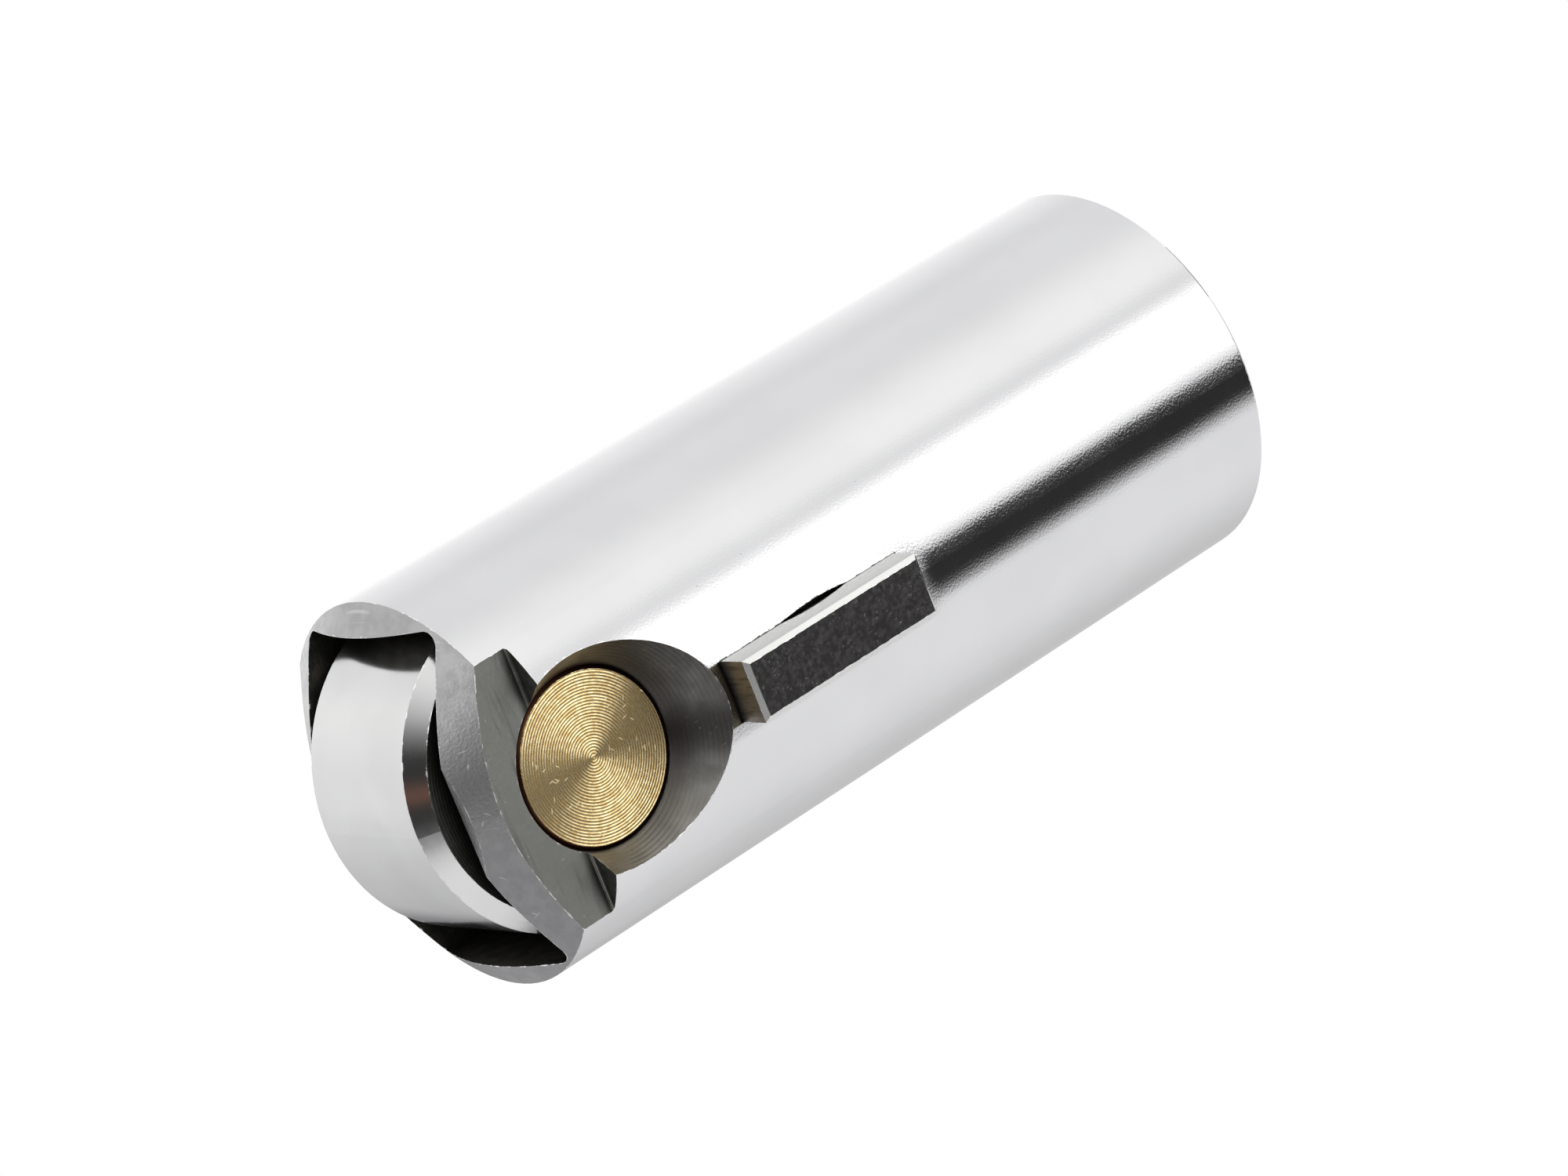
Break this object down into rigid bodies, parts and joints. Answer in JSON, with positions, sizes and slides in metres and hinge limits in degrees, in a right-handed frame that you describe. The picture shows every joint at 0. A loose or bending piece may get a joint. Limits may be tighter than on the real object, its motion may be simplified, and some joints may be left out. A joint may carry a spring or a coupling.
{
  "type": "roller tappet",
  "caption": "Roller tappet: a ground steel cylinder with a steel roller on a floating bronze pin at one end and a raised guide key on its side.",
  "frame": {"origin": "centre of the open pushrod end face, on the body's axis", "axes": "+Z along the body from the open pushrod end to the roller, +X along the roller's pin toward the guide key, +Y across the roller"},
  "size_m": [0.0381, 0.035, 0.0879],
  "materials": {
    "ground_steel": "case hardened steel, ground and honed to a satin shine",
    "polished_steel": "hardened bearing steel, ground and polished",
    "bronze": "turned bronze with fine concentric tool marks",
    "key_steel": "hardened steel, ground on its sides and sawn at its ends, with bright bevels",
    "hardened_steel": "hardened steel, dark from its heat treatment, with a lapped cup"
  },
  "bodies": {
    "tappet": {"tappet_body": "ground_steel", "guide_key": "key_steel", "pushrod_seat": "hardened_steel"},
    "pin": {"roller_pin": "bronze"},
    "roller": {"roller": "polished_steel"}
  },
  "joints": [
    {"name": "pin_turn", "type": "hinge", "parent": "tappet", "child": "pin", "pos_m": [0, 0, 0.0735], "axis": [1, 0, 0], "continuous": true},
    {"name": "roller_spin", "type": "hinge", "parent": "pin", "child": "roller", "pos_m": [0, 0, 0.0735], "axis": [1, 0, 0], "continuous": true}
  ]
}
